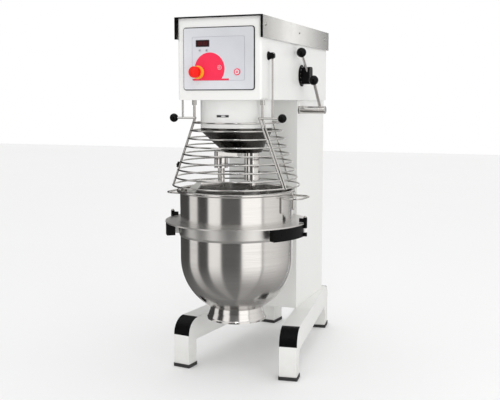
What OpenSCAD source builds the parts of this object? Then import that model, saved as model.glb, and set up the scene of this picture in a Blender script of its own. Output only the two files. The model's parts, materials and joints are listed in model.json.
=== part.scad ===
// Floor-standing planetary stand mixer with a lifting bowl, a swinging wire guard and two levers.
// Lengths are in millimetres. X runs to the machine's right, Y to its back and Z up.
// The bowl's axis is the working axis; place() moves it so that the origin is the middle of the base.

/* [Head] */
// Height of the lid's top above the floor
lid_top_z = 1420; // [1415:1:1430]
// Height of the head's underside above the floor
head_z = 1110; // [1108:1:1112]
// Half the width of the head casing
head_half_w = 170; // [169:1:172]
// How far the head's front stands in front of the bowl's axis
head_front = 176; // [174:1:178]
// How far the head's back stands behind the bowl's axis
head_back = 699; // [695:1:705]
// Depth of the lid's side skirts
lid_skirt = 81; // [70:1:90]

/* [Column and stand] */
// Half the width of the column
column_half_w = 157; // [155:1:158]
// Distance of the column's front behind the bowl's axis
column_front = 304; // [302:1:305]
// Distance of the column's back behind the bowl's axis
column_back_y = 711; // [708:1:715]
// Height of the top of the two legs
leg_top_z = 205; // [200:1:206]
// Height of the legs' straight underside
leg_under_z = 110; // [100:1:115]
// Width of each leg
leg_w = 72; // [68:1:74]
// Length of each leg
leg_len = 870; // [860:1:880]
// How far the two legs toe in towards the back, in degrees
leg_splay = 7.6; // [7:0.1:8]
// Thickness of the rubber foot pads
pad_h = 14; // [10:1:16]

/* [Bowl] */
// Outer radius of the bowl
bowl_r = 226; // [225:0.5:227]
// Height of the centre of the bowl's round bottom
bowl_round_z = 480; // [476:1:484]
// Height of the bowl's rim
rim_z = 759; // [755:1:762]
// Thickness of the bowl's wall
bowl_wall = 3; // [2:0.5:3.5]
// Radius of the flange that the bowl hangs on
flange_r = 286; // [284:1:286]
// Height of the flange's underside
flange_z = 628; // [626:1:630]
// How far the bowl goes down
bowl_travel = 140; // [120:5:145]

/* [Guard] */
// Number of rings in the wire guard
ring_count = 9; // [7:1:10]
// Radius of the highest ring
ring_top_r = 172; // [170:1:175]
// Radius of the lowest ring
ring_low_r = 253; // [250:1:256]
// Radius of the ring wire
ring_wire = 3.2; // [2.5:0.1:3.5]
// Radius of the upright and lever wires
rib_wire = 4; // [3.5:0.1:4.5]

/* [Planetary drive] */
// Distance between the bowl's axis and the tool's axis
tool_x = 66; // [66]
// Tooth module of the planetary gears
planet_module = 3; // [3]
// Teeth on the tool's pinion
pinion_teeth = 22; // [22]
// Teeth in the fixed ring gear
ring_teeth = 66; // [66]
// Radius of the belt on the main pulley
main_pulley_r = 110; // [100:1:112]
// Radius of the belt on the motor pulley
motor_pulley_r = 28; // [26:1:32]

/* [Lift] */
// Tooth module of the lift's sector gear and rack
lift_module = 5; // [5]
// Pitch radius of the lift's sector gear
lift_pitch_r = 90; // [90]
// Lean of the lift lever towards the front, in degrees from upright
lift_lean = 42.3; // [38:0.1:46]
// Length of the lift lever from its shaft to the middle of its ball
lift_lever_len = 165; // [155:1:170]

/* [Speed lever] */
// Lean of the speed lever towards the front, in degrees from upright
speed_lean = 47.7; // [42:0.1:52]
// Length of the speed lever from its pivot to the middle of its ball
speed_lever_len = 135; // [128:1:140]

/* [Hidden] */
$fn = 64;

sheet = 3;            // sheet metal of the casings
eps = 0.5;            // how far a cutting shape runs past what it cuts
run_gap = 0.05;       // radial clearance of a running fit
key_gap = 0.3;        // radial clearance of a hole that a key's stem passes freely
belt_clear = 0.3;     // gap between the belt's inside and a pulley

// stand
leg_nose = [233.8, -39.5];           // middle of a leg's front face
leg_corner_r = 68;                   // radius of a leg's top corners
leg_cover_t = 3;                     // thickness of the plastic corner covers
leg_front_depth = 60;                // depth of a front foot
leg_back_depth = 86;                 // depth of a back foot
pad_lip = 3;                         // how far a pad stands out round its foot
plate_h = 8;                         // thickness of the base plate
leg_back_y = leg_nose[1] + (leg_len + pad_lip) * cos(leg_splay)
    + (leg_w / 2 + pad_lip) * sin(leg_splay);
mid_y = (leg_back_y - flange_r) / 2; // middle of the whole machine, measured from the bowl's axis
column_z = leg_top_z + plate_h;

// head
lid_t = 2;
lid_gap = 5;                         // room between the lid's skirts and the head's sides
head_top = lid_top_z - lid_t;
seam_y = -97;                        // where the front cover meets the casing
corner_r = 10;                       // rounding of the front cover's upright corners
low_corner_r = 12;                   // rounding of the head's lower edges
lid_front = 187;
lid_back = 714;

// planetary drive
housing_r = 142;
housing_wall = 8;
housing_low = 1002;
hub_top = 1150;
hub_r = 60;
bearing_r = 40;
main_shaft_r = 25;
planet_top = 1000;
planet_rim_z = 988;
planet_low = 905;
planet_low_r = 76;
planet_low_x = 28;
tool_shaft_r = 16.5;
socket_r = 30;
socket_low = 794;
ring_z = 1016;
ring_h = 30;
planet_slack = 1.3;
pulley_z = 1346;
belt_h = 28;
belt_t = 6;
motor_y = 560;
motor_low = 1020;
motor_top = 1300;
motor_shaft_r = 14;

// guard
guard_pivot_z = 1275;
guard_front_y = -100;
guard_rear_y = -88;
guard_pivot_x = 187;
ring_top_z = 1022;
ring_low_z = 775;
arm_z = 1041;
knob_x = 226;
knob_r = 17;
guard_pin_r = 6;
rear_rib_angle = 52;

// lift
lift_y = 335;
lift_z = 1069;
lift_shaft_r = 17;
lift_shaft_end = 272;
lift_ball_x = 251;
ball_r = 20;
rod_x = 95;
rod_y = 378;
rod_r = 12;
carriage_low = 550;
carriage_high = 638;
fork_in = 234;
fork_out = 250;
fork_low = 585;
arm_x = 45;
arm_t = 18;
clamp_pivot = [288, 4];
clamp_post_r = 7.5;
clamp_pin_r = 4;
lug_low = 596;
lug_high = 612;
handle_turn = -4;

// speed lever
speed_y = 318;
speed_z = 1213;
speed_ball_x = 200;

// panel
face_y = -head_front;
plate_y = face_y - 1.5;
foil_y = plate_y - 4;
tile_y = foil_y - 0.8;
estop_at = [-83, 1214];
start_at = [77, 1214];
stop_at = [6, 1231];
timer_down_at = [-74, 1295];
timer_up_at = [-46, 1295];
estop_stem_r = 9;
key_stem_r = 3;
start_r = 12.5;
stop_r = 8.5;
timer_r = 5;

// ---- helpers ----

// moves the bowl's axis to its place in front of the machine's middle
module place() {
    translate([0, -mid_y, 0]) children();
}

// rectangle with round corners, centred
module round_rect(w, h, r) {
    square([w - 2 * r, h], center = true);
    square([w, h - 2 * r], center = true);
    for (x = [-1, 1], y = [-1, 1])
        translate([x * (w / 2 - r), y * (h / 2 - r)]) circle(r);
}

// block between two corners
module block(low, high) {
    translate(low) cube(high - low);
}

// round bar between two points
module bar(a, b, r) {
    d = b - a;
    len = norm(d);
    translate(a) rotate([0, acos(d[2] / len), atan2(d[1], d[0])]) cylinder(r = r, h = len);
}

// cylinder along X, from x0 to x1
module bar_x(x0, x1, y, z, r) {
    translate([x0, y, z]) rotate([0, 90, 0]) cylinder(r = r, h = x1 - x0);
}

// cylinder along Y, from the front y0 to the back y1, at a point [x, z] of the panel
module bar_y(at, y0, y1, r) {
    translate([at[0], y1, at[1]]) rotate([90, 0, 0]) cylinder(r = r, h = y1 - y0);
}

// flat outline drawn in X and Z, given a thickness along Y
module upright(y0, y1) {
    translate([0, y1, 0]) rotate([90, 0, 0]) linear_extrude(y1 - y0) children();
}

// flat outline drawn in Y and Z, given a thickness along X
module sideways(x0, x1) {
    translate([x0, 0, 0]) rotate([90, 0, 90]) linear_extrude(x1 - x0) children();
}

// both sides of the machine
module mirrored() {
    children();
    mirror([1, 0, 0]) children();
}

// half the angle that a straight-sided tooth covers at radius r
function tooth_half(m, pitch_r, r, slack) =
    ((PI * m - slack) / 4 - (r - pitch_r) * tan(20)) / r * 180 / PI;

function polar(r, a) = [r * cos(a), r * sin(a)];

// outline of an outside gear, or of part of one, with a tooth at start + n * pitch
function gear_points(m, teeth, n, start, slack) =
    let (pitch_r = m * teeth / 2, root = pitch_r - 1.25 * m, tip = pitch_r + m,
         hr = tooth_half(m, pitch_r, root, slack), ht = tooth_half(m, pitch_r, tip, slack))
    [for (i = [0:n - 1]) let (a = start + i * 360 / teeth)
        each [polar(root, a - hr), polar(tip, a - ht), polar(tip, a + ht), polar(root, a + hr)]];

// outline of the space inside an inside gear, with a gap at angle 0
function inner_gear_points(m, teeth, slack) =
    let (pitch_r = m * teeth / 2, root = pitch_r + 1.25 * m, tip = pitch_r - m,
         hr = tooth_half(m, -pitch_r, -root, slack), ht = tooth_half(m, -pitch_r, -tip, slack))
    [for (i = [0:teeth - 1]) let (a = (i + 0.5) * 360 / teeth)
        each [polar(root, a + hr), polar(tip, a + ht), polar(tip, a - ht), polar(root, a - hr)]];

// ---- stand ----

// side view of a leg: a beam with a foot at each end, in its own length and height
module leg_outline(skin) {
    r = leg_corner_r - skin;
    difference() {
        union() {
            translate([leg_corner_r, leg_under_z])
                square([leg_len - 2 * leg_corner_r, leg_top_z - leg_under_z]);
            translate([0, pad_h]) square([leg_front_depth, leg_top_z - leg_corner_r - pad_h]);
            translate([leg_len - leg_back_depth, pad_h])
                square([leg_back_depth, leg_top_z - leg_corner_r - pad_h]);
            for (y = [leg_corner_r, leg_len - leg_corner_r])
                translate([y, leg_top_z - leg_corner_r]) circle(r);
        }
        translate([leg_front_depth, -eps])
            square([leg_len - leg_front_depth - leg_back_depth, leg_under_z + eps]);
    }
}

// puts something drawn in a leg's own length and height where the right leg is
module at_leg() {
    place() translate([leg_nose[0], leg_nose[1], 0]) rotate([0, 0, leg_splay]) children();
}

module leg() {
    at_leg() sideways(-leg_w / 2, leg_w / 2) leg_outline(leg_cover_t);
}

module leg_right() {
    color("white") leg();
}

module leg_left() {
    color("white") mirror([1, 0, 0]) leg();
}

module leg_cover(middle_y, side) {
    sideways(-leg_w / 2, leg_w / 2) intersection() {
        difference() {
            translate([middle_y, leg_top_z - leg_corner_r]) circle(leg_corner_r);
            translate([middle_y, leg_top_z - leg_corner_r]) circle(leg_corner_r - leg_cover_t);
        }
        translate([side < 0 ? middle_y - leg_corner_r : middle_y, leg_top_z - leg_corner_r])
            square(leg_corner_r);
    }
}

module leg_covers() {
    color("black") mirrored() at_leg() {
        leg_cover(leg_corner_r, -1);
        leg_cover(leg_len - leg_corner_r, 1);
    }
}

module foot_pad(y0, depth) {
    translate([0, y0 + depth / 2, 0]) linear_extrude(pad_h)
        round_rect(leg_w + 2 * pad_lip, depth + 2 * pad_lip, 4);
}

module foot_pads() {
    color("black") mirrored() at_leg() {
        foot_pad(0, leg_front_depth);
        foot_pad(leg_len - leg_back_depth, leg_back_depth);
    }
}

module base_plate() {
    color("whitesmoke") place()
        block([-column_half_w, column_front, leg_top_z], [column_half_w, column_back_y, column_z]);
}

// ---- column ----

service_z = [275, 1080];  // rear opening, from its bottom to its top
service_half_w = 135;
slot_low = fork_low - 25 - bowl_travel - 8;
slot_high = flange_z + 6;

module column() {
    inner = column_half_w - sheet;
    color("white") place() difference() {
        block([-column_half_w, column_front, column_z], [column_half_w, column_back_y, head_z]);
        block([-inner, column_front + sheet, column_z - eps], [inner, column_back_y - sheet, head_z + eps]);
        block([-service_half_w, column_back_y - sheet - eps, service_z[0]],
              [service_half_w, column_back_y + eps, service_z[1]]);
        mirrored() block([arm_x - arm_t / 2 - 2, column_front - eps, slot_low],
                         [arm_x + arm_t / 2 + 2, column_front + sheet + eps, slot_high]);
        bar_x(-column_half_w - eps, column_half_w + eps, lift_y, lift_z, bush_r);
        bar_y(gland_at, column_back_y - sheet - eps, column_back_y + eps, gland_r);
    }
}

module column_back() {
    color("whitesmoke") place() translate([0, 0, (service_z[0] + service_z[1]) / 2])
        upright(column_back_y, column_back_y + 2)
            round_rect(2 * service_half_w + 20, service_z[1] - service_z[0] + 20, 8);
}

gland_at = [110, 232];
gland_r = 11;

module cable_gland() {
    color("black") place() difference() {
        union() {
            bar_y(gland_at, column_back_y - sheet, column_back_y, gland_r);
            bar_y(gland_at, column_back_y, column_back_y + 6, 15);
            bar_y(gland_at, column_back_y + 6, column_back_y + 24, 12);
        }
        bar_y(gland_at, column_back_y - sheet - eps, column_back_y + 24 + eps, 6);
    }
}

module guide_rods() {
    color("silver") place() mirrored()
        translate([rod_x, rod_y, column_z]) cylinder(r = rod_r, h = head_z - column_z);
}

bush_r = 24;
bush_len = 14;

module lift_bushes() {
    color("goldenrod") place() mirrored() difference() {
        bar_x(column_half_w - bush_len, column_half_w, lift_y, lift_z, bush_r);
        bar_x(column_half_w - bush_len - eps, column_half_w + eps, lift_y, lift_z, lift_shaft_r + run_gap);
    }
}

// ---- head ----

module head_casing() {
    inner = head_half_w - sheet;
    rod_span = rod_x + rod_r + 4;
    color("white") place() difference() {
        block([-head_half_w, seam_y, head_z], [head_half_w, head_back, head_top]);
        block([-inner, seam_y - eps, head_z + sheet], [inner, head_back - sheet, head_top + eps]);
        translate([0, 0, head_z - eps]) cylinder(r = hub_r, h = sheet + 2 * eps);
        block([-rod_span + 30, column_front + sheet, head_z - eps], [rod_span - 30, rod_y + 90, head_z + sheet + eps]);
        translate([0, motor_y, head_z - eps]) cylinder(r = motor_r + 6, h = sheet + 2 * eps);
        bar_x(inner - eps, head_half_w + eps, speed_y, speed_z, spindle_r + run_gap);
    }
}

// shape of the front cover: round upright corners and round lower corners
module front_shape(t) {
    w = head_half_w - t;
    intersection() {
        translate([0, 0, head_z]) linear_extrude(head_top - head_z + (t > 0 ? eps : 0)) union() {
            translate([-w, seam_y - (head_front - t - corner_r + seam_y)])
                square([2 * w, head_front - t - corner_r + seam_y + (t > 0 ? eps : 0)]);
            translate([-w + corner_r, -head_front + t])
                square([2 * (w - corner_r), corner_r + 1]);
            for (x = [-1, 1])
                translate([x * (w - corner_r), -head_front + t + corner_r]) circle(corner_r);
        }
        upright(-head_front - eps, seam_y + 2 * eps) union() {
            translate([-w, head_z + t + low_corner_r]) square([2 * w, head_top - head_z]);
            translate([-w + low_corner_r, head_z + t]) square([2 * (w - low_corner_r), low_corner_r + 1]);
            for (x = [-1, 1])
                translate([x * (w - low_corner_r), head_z + t + low_corner_r]) circle(low_corner_r);
        }
    }
}

module head_front() {
    color("white") place() difference() {
        front_shape(0);
        front_shape(sheet);
        for (k = panel_keys) bar_y(k[0], face_y - eps, face_y + sheet + eps, k[1] + key_gap);
    }
}

module lid() {
    inner = head_half_w + lid_gap;
    outer = inner + lid_t;
    color("lightgray") place() difference() {
        block([-outer, -lid_front, head_top - lid_skirt + lid_t], [outer, lid_back, lid_top_z]);
        block([-inner, -lid_front - eps, head_top - lid_skirt - eps],
              [inner, lid_back + eps, head_top]);
    }
}

// ---- control panel ----

// every stem that goes through the panel, with its radius
panel_keys = [
    [estop_at, estop_stem_r], [start_at, key_stem_r], [stop_at, key_stem_r],
    [timer_up_at, key_stem_r], [timer_down_at, key_stem_r],
];
panel_mid = [0, 1264];
panel_size = [283, 228];

module panel_sheet(y, t, size, r) {
    upright(y - t, y) translate(panel_mid) round_rect(size[0], size[1], r);
}

module panel_gasket() {
    color("dimgray") place() difference() {
        panel_sheet(face_y, 1.5, panel_size + [3, 3], 9);
        for (k = panel_keys) bar_y(k[0], plate_y - eps, face_y + eps, k[1] + key_gap);
    }
}

module panel_plate() {
    color("silver") place() difference() {
        panel_sheet(plate_y, 4, panel_size, 8);
        for (k = panel_keys) bar_y(k[0], foil_y - eps, plate_y + eps, k[1] + run_gap);
    }
}

module panel_foil() {
    color("gainsboro") place() difference() {
        panel_sheet(foil_y, 0.8, [214, 164], 3);
        for (k = panel_keys) bar_y(k[0], tile_y - eps, foil_y + eps, k[1] + key_gap);
    }
}

module display() {
    color([0.25, 0.03, 0.05]) place() upright(tile_y - 0.6, tile_y)
        translate([-63, 1321]) square([52, 22], center = true);
}

tile_t = 0.5;
tile_base = 1183.5;

// printed field: a disc that stands on a bar
module red_tile() {
    color([0.95, 0.24, 0.38]) place() difference() {
        upright(tile_y - tile_t, tile_y) union() {
            translate([-30, tile_base + 3.25]) square([148, 6.5], center = true);
            intersection() {
                translate([-35, 1226]) circle(61, $fn = 128);
                translate([-113, tile_base + 3]) square([160, 120]);
            }
        }
        bar_y(estop_at, tile_y - 2, tile_y + eps, collar_r + key_gap);
        bar_y(stop_at, tile_y - 2, tile_y + eps, stop_r + 0.5);
    }
}

collar_r = 25;
collar_t = 8.5;

module estop_collar() {
    color("gold") place() difference() {
        union() {
            bar_y(estop_at, tile_y - 3, tile_y, collar_r);
            bar_y(estop_at, tile_y - collar_t, tile_y - 3, collar_r - 4);
        }
        bar_y(estop_at, tile_y - collar_t - eps, tile_y + eps, estop_stem_r + run_gap);
    }
}

estop_front = 226;   // how far the button's face stands in front of the bowl's axis
mushroom_r = 21;
mushroom_t = 24;

module estop_button() {
    dome_r = 52;
    color("red") place() union() {
        bar_y(estop_at, -estop_front + mushroom_t - 1, face_y + 6, estop_stem_r);
        intersection() {
            bar_y(estop_at, -estop_front, -estop_front + mushroom_t, mushroom_r);
            translate([estop_at[0], -estop_front + dome_r, estop_at[1]]) sphere(dome_r, $fn = 128);
        }
    }
}

// round key: a cap in front of the foil on a stem that goes through the panel
module key(at, r) {
    cap_y = tile_y - 1.9;
    place() {
        bar_y(at, cap_y, cap_y + 1, r);
        bar_y(at, cap_y + 1, face_y + 3.4, key_stem_r);
    }
}

module start_key() {
    color("crimson") key(start_at, start_r);
}

module stop_key() {
    color("crimson") key(stop_at, stop_r);
}

module timer_up_key() {
    color("gray") key(timer_up_at, timer_r);
}

module timer_down_key() {
    color("gray") key(timer_down_at, timer_r);
}

// box on four studs behind the front cover, with a contact block behind every stem
module control_box() {
    box_front = face_y + 13;
    color("darkslategray") place() {
        block([-115, box_front, 1175], [115, box_front + 24, 1335]);
        for (k = panel_keys) bar_y(k[0], box_front - 2, box_front + 1, k[1]);
        mirrored() for (z = [1183, 1327]) bar_y([107, z], face_y + sheet, box_front + 1, 5);
    }
}

// ---- planetary drive ----

module beater_housing() {
    color("white") place() difference() {
        union() {
            translate([0, 0, housing_low]) cylinder(r = housing_r, h = head_z - housing_low, $fn = 128);
            translate([0, 0, head_z]) cylinder(r = hub_r, h = hub_top - head_z);
        }
        translate([0, 0, housing_low - eps])
            cylinder(r = housing_r - housing_wall, h = head_z - 26 - housing_low + eps, $fn = 128);
        translate([0, 0, housing_low]) cylinder(r = bearing_r, h = hub_top - housing_low + eps);
    }
}

module ring_gear() {
    color("dimgray") place() translate([0, 0, ring_z]) difference() {
        cylinder(r = housing_r - housing_wall, h = ring_h, $fn = 128);
        translate([0, 0, -eps]) linear_extrude(ring_h + 2 * eps)
            polygon(inner_gear_points(planet_module, ring_teeth, planet_slack));
    }
}

module main_bearings() {
    color("gray") place() for (z = [head_z - 24, hub_top - 18]) translate([0, 0, z]) difference() {
        cylinder(r = bearing_r, h = 16);
        translate([0, 0, -eps]) cylinder(r = main_shaft_r + run_gap, h = 16 + 2 * eps);
    }
}

shaft_top = pulley_z + belt_h + 8;

module main_shaft() {
    color("silver") place() {
        translate([0, 0, planet_top]) cylinder(r = main_shaft_r, h = shaft_top - planet_top);
        translate([0, 0, planet_top]) cylinder(r = 44, h = 12);
    }
}

// pulley with a rim and a flange above and below the belt
module pulley(r, shaft_r) {
    translate([0, 0, pulley_z]) difference() {
        union() {
            cylinder(r = r, h = belt_h, $fn = 128);
            for (z = [-3, belt_h - 0.5]) translate([0, 0, z]) cylinder(r = r + 7, h = 3.5, $fn = 128);
        }
        translate([0, 0, -3 - eps]) cylinder(r = shaft_r, h = belt_h + 6 + 2 * eps);
    }
}

module main_pulley() {
    color("dimgray") place() difference() {
        pulley(main_pulley_r, main_shaft_r);
        for (a = [0:60:300]) rotate([0, 0, a]) translate([68, 0, pulley_z - 5])
            cylinder(r = 24, h = belt_h + 10);
    }
}

// outline of a belt's run round the two pulleys, grown by a margin
module belt_outline(grow) {
    r1 = main_pulley_r + grow;
    r2 = motor_pulley_r + grow;
    lean = asin((r1 - r2) / motor_y);
    circle(r1, $fn = 128);
    translate([0, motor_y]) circle(r2, $fn = 128);
    polygon([
        polar(r1, lean), polar(r2, lean) + [0, motor_y],
        polar(r2, 180 - lean) + [0, motor_y], polar(r1, 180 - lean),
    ]);
}

module drive_belt() {
    color([0.12, 0.12, 0.12]) place() translate([0, 0, pulley_z + 1]) linear_extrude(belt_h - 3) difference() {
        belt_outline(belt_clear + belt_t);
        belt_outline(belt_clear);
    }
}

motor_r = 80;
fin_count = 24;

module motor() {
    core = motor_r - 8;
    bell = 14;
    color("steelblue") place() translate([0, motor_y, 0]) difference() {
        union() {
            for (z = [motor_low, motor_top - bell]) translate([0, 0, z]) cylinder(r = motor_r, h = bell);
            translate([0, 0, motor_low + bell - 1]) linear_extrude(motor_top - motor_low - 2 * bell + 2) union() {
                circle(core);
                for (i = [0:fin_count - 1]) rotate(i * 360 / fin_count)
                    translate([core - 3, -1.5]) square([motor_r - 2 - core + 3, 3]);
            }
            block([-36, -motor_r - 22, 1120], [36, -core + 20, 1200]);
        }
        translate([0, 0, motor_low - eps])
            cylinder(r = motor_shaft_r + run_gap, h = motor_top - motor_low + 2 * eps);
    }
}

module motor_mount() {
    inner = head_half_w - sheet;
    color("slategray") place() difference() {
        union() {
            block([-inner, motor_y - 95, motor_top], [inner, motor_y + 95, motor_top + 8]);
            mirrored() block([inner - 8, motor_y - 95, motor_top - 40], [inner, motor_y + 95, motor_top]);
        }
        translate([0, motor_y, motor_top - eps]) cylinder(r = 22, h = 8 + 2 * eps);
    }
}

module motor_rotor() {
    color("silver") place() translate([0, motor_y, 0]) {
        translate([0, 0, motor_low]) cylinder(r = motor_shaft_r, h = shaft_top - motor_low);
        pulley(motor_pulley_r, motor_shaft_r - 1);
    }
}

// rotating head: a rim that closes the housing and a cone that leans towards the tool
module planet_head() {
    color([0.3, 0.3, 0.32]) place() difference() {
        union() {
            translate([0, 0, planet_rim_z]) cylinder(r = housing_r, h = planet_top - planet_rim_z, $fn = 128);
            hull() {
                translate([0, 0, planet_rim_z]) cylinder(r = housing_r - 1, h = 2, $fn = 96);
                translate([planet_low_x, 0, planet_low]) cylinder(r = planet_low_r, h = 2, $fn = 96);
            }
        }
        translate([tool_x, 0, planet_low - eps])
            cylinder(r = tool_shaft_r + run_gap, h = planet_top - planet_low + 2 * eps);
    }
}

scraper_x = -tool_x;
bracket_low = 889;
post_low = 765;

module scraper_post() {
    color("silver") place() {
        translate([0, 0, bracket_low]) linear_extrude(planet_low - bracket_low) union() {
            translate([scraper_x, -28]) square([scraper_x * -1 + 14, 56]);
            translate([scraper_x, 0]) circle(28);
        }
        translate([scraper_x, 0, 840]) cylinder(r = 28, h = planet_low - 840);
        translate([scraper_x, 0, post_low]) cylinder(r = 14, h = 90);
        block([scraper_x - 88, -8, post_low], [scraper_x, 8, post_low + 24]);
    }
}

blade_out = bowl_r - bowl_wall - 5;  // how far the blade reaches from the bowl's axis

module scraper_blade() {
    arm_end = scraper_x - 88;
    color("white") place() upright(-7, 7) polygon([
        [-blade_out, 500], [-blade_out, 742], [arm_end, 792], [arm_end, 765],
        [-blade_out + 26, 725], [-blade_out + 20, 510],
    ]);
}

module tool_shaft() {
    color("silver") place() translate([tool_x, 0, 0]) {
        translate([0, 0, 700]) cylinder(r = tool_shaft_r, h = ring_z + ring_h + 4 - 700);
        difference() {
            translate([0, 0, socket_low]) cylinder(r = socket_r, h = planet_low - 1.5 - socket_low);
            translate([0, 0, socket_low + 34]) rotate([90, 0, 90])
                translate([0, 0, tool_shaft_r + 1]) cylinder(r = 6, h = 30);
        }
        translate([0, 0, ring_z + 2]) linear_extrude(ring_h - 6)
            polygon(gear_points(planet_module, pinion_teeth, pinion_teeth, 0, planet_slack));
    }
}

beater_t = 18;
beater_top = 700;
beater_half_w = 145;
sweep_r = bowl_r - bowl_wall - 10;  // how close the beater comes to the bowl's round bottom

// front view of the beater: straight sides, and a bottom that follows the bowl as it turns
module beater_outline(inset) {
    intersection() {
        translate([-beater_half_w + inset, bowl_round_z - sweep_r])
            square([2 * (beater_half_w - inset), beater_top - inset - bowl_round_z + sweep_r]);
        union() {
            translate([-beater_half_w, bowl_round_z]) square([2 * beater_half_w, beater_top]);
            intersection() {
                translate([-tool_x, bowl_round_z]) circle(sweep_r - inset, $fn = 128);
                translate([tool_x, bowl_round_z]) circle(sweep_r - inset, $fn = 128);
            }
        }
    }
}

module beater() {
    rib = 15;
    color("gainsboro") place() translate([tool_x, 0, 0]) {
        upright(-beater_t / 2, beater_t / 2) union() {
            difference() {
                beater_outline(0);
                beater_outline(22);
            }
            intersection() {
                beater_outline(10);
                union() {
                    translate([-rib / 2, 250]) square([rib, 460]);
                    for (x = [-76, 76]) translate([x - rib / 2, 300]) square([rib, 400]);
                    translate([-150, 480]) square([300, rib]);
                }
            }
        }
        translate([0, 0, beater_top - 40]) difference() {
            cylinder(r = 30, h = 94);
            translate([0, 0, 40]) cylinder(r = tool_shaft_r, h = 54 + eps);
        }
    }
}

// ---- guard ----

function ring_step(i) = i / (ring_count - 1);
function ring_r(i) = ring_top_r + (ring_low_r - ring_top_r) * ring_step(i);
function ring_z_at(i) = ring_top_z + (ring_low_z - ring_top_z) * ring_step(i);

// part of a wire ring, from one angle to another
module ring_part(i, from, to) {
    translate([0, 0, ring_z_at(i)]) rotate([0, 0, from]) rotate_extrude(angle = to - from, $fn = 96)
        translate([ring_r(i), 0]) circle(ring_wire, $fn = 24);
}

// x of a cut through the ring cone at depth y
function cut_x(r, y) = sqrt(r * r - y * y);

// slope of the end ribs, and where such a rib is at height z
function rib_x(y, z) = let (top = cut_x(ring_top_r, y), low = cut_x(ring_low_r, y))
    top + (ring_top_z - z) * (low - top) / (ring_top_z - ring_low_z);

module guard_rear() {
    top = [rib_x(guard_rear_y, arm_z - 4), guard_rear_y, arm_z - 4];
    color("silver") place() {
        for (i = [0:ring_count - 1]) {
            a = asin(guard_rear_y / ring_r(i));
            ring_part(i, a, 180 - a);
        }
        mirrored() {
            bar([rib_x(guard_rear_y, ring_low_z - 4), guard_rear_y, ring_low_z - 4], top, rib_wire);
            translate(top) sphere(rib_wire + 1);
            bar(top, [top[0], top[1], head_z], rib_wire + 1);
            translate([top[0], top[1], head_z - 19]) cylinder(r = 9, h = 19);
            bar([for (v = polar(ring_r(ring_count - 1), rear_rib_angle)) v, ring_low_z - 4],
                [for (v = polar(ring_r(0), rear_rib_angle)) v, ring_top_z + 4], ring_wire);
        }
    }
}

// front half: rings, end ribs, arms out to the knobs and the rods up to the pivots
module guard_front() {
    top = [rib_x(guard_front_y, arm_z), guard_front_y, arm_z];
    color("silver") place() {
        for (i = [0:ring_count - 1]) {
            a = acos(-guard_front_y / ring_r(i));
            ring_part(i, -90 - a, -90 + a);
        }
        mirrored() {
            bar([rib_x(guard_front_y, ring_low_z - 4), guard_front_y, ring_low_z - 4], top, rib_wire);
            translate(top) sphere(rib_wire + 0.6);
            bar(top, [knob_x - knob_r + 4, guard_front_y, arm_z], rib_wire);
            bar([guard_pivot_x, guard_front_y, arm_z], [guard_pivot_x, guard_front_y, guard_pivot_z - 9], rib_wire);
            difference() {
                bar_x(guard_pivot_x - 4, guard_pivot_x + 4, guard_front_y, guard_pivot_z, 12);
                bar_x(guard_pivot_x - 5, guard_pivot_x + 5, guard_front_y, guard_pivot_z, guard_pin_r + run_gap);
            }
        }
    }
}

module guard_knobs() {
    color("black") place() mirrored() difference() {
        translate([knob_x, guard_front_y, arm_z]) sphere(knob_r);
        bar_x(knob_x - knob_r - 1, knob_x - knob_r + 4, guard_front_y, arm_z, rib_wire);
    }
}

// black cones that hold the guard off the head, each with its pin and its nut
module guard_bushes() {
    color("black") place() mirrored() {
        translate([head_half_w, guard_front_y, guard_pivot_z]) rotate([0, 90, 0])
            cylinder(r1 = 17, r2 = 10, h = 12.5);
        bar_x(head_half_w, guard_pivot_x + 6, guard_front_y, guard_pivot_z, guard_pin_r);
        bar_x(guard_pivot_x + 4.6, guard_pivot_x + 8, guard_front_y, guard_pivot_z, 9);
    }
}

// ---- bowl and its lift ----

module bowl() {
    inner = bowl_r - bowl_wall;
    color("silver") place() difference() {
        union() {
            translate([0, 0, bowl_round_z]) sphere(bowl_r, $fn = 128);
            translate([0, 0, bowl_round_z]) cylinder(r = bowl_r, h = rim_z - bowl_round_z - 6, $fn = 128);
            translate([0, 0, rim_z - 7]) rotate_extrude($fn = 128) translate([bowl_r + 6.4, 0]) circle(7, $fn = 32);
        }
        translate([0, 0, bowl_round_z]) sphere(inner, $fn = 128);
        translate([0, 0, bowl_round_z]) cylinder(r = inner, h = rim_z, $fn = 128);
    }
}

// flange that rests on the fork, with a band below it and a notch for each clamp's post
module bowl_ring() {
    color("gainsboro") place() difference() {
        rotate_extrude($fn = 128) polygon([
            [bowl_r, flange_z - 55], [bowl_r + 3, flange_z - 55], [bowl_r + 6, flange_z - 46],
            [bowl_r + 6, flange_z], [flange_r, flange_z], [flange_r, flange_z + 5], [bowl_r, flange_z + 5],
        ]);
        mirrored() translate([clamp_pivot[0], clamp_pivot[1], flange_z - 1])
            cylinder(r = clamp_post_r + 2.5, h = 8);
    }
}

handle_z = 735;
handle_wire = 4;
handle_half = 60;
handle_reach = 297;
weld_depth = 0.02;

// wire loop: two legs down the wall, two arms out and a round end
module bowl_handle() {
    bend_x = handle_reach - 34;
    wall_x = cut_x(bowl_r + handle_wire - weld_depth, handle_half);
    rotate([0, 0, handle_turn]) {
        for (s = [-1, 1]) {
            y = s * handle_half;
            bar([wall_x, y, handle_z - 56], [wall_x, y, handle_z], handle_wire);
            translate([wall_x, y, handle_z]) sphere(handle_wire);
            translate([wall_x, y, handle_z - 56]) sphere(handle_wire);
            bar([wall_x, y, handle_z], [bend_x, y, handle_z], handle_wire);
            translate([bend_x, s * (handle_half - 34), handle_z]) rotate([0, 0, s > 0 ? 0 : -90])
                rotate_extrude(angle = 90) translate([34, 0]) circle(handle_wire, $fn = 24);
        }
        bar([handle_reach, -handle_half + 34, handle_z], [handle_reach, handle_half - 34, handle_z], handle_wire);
    }
}

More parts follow.
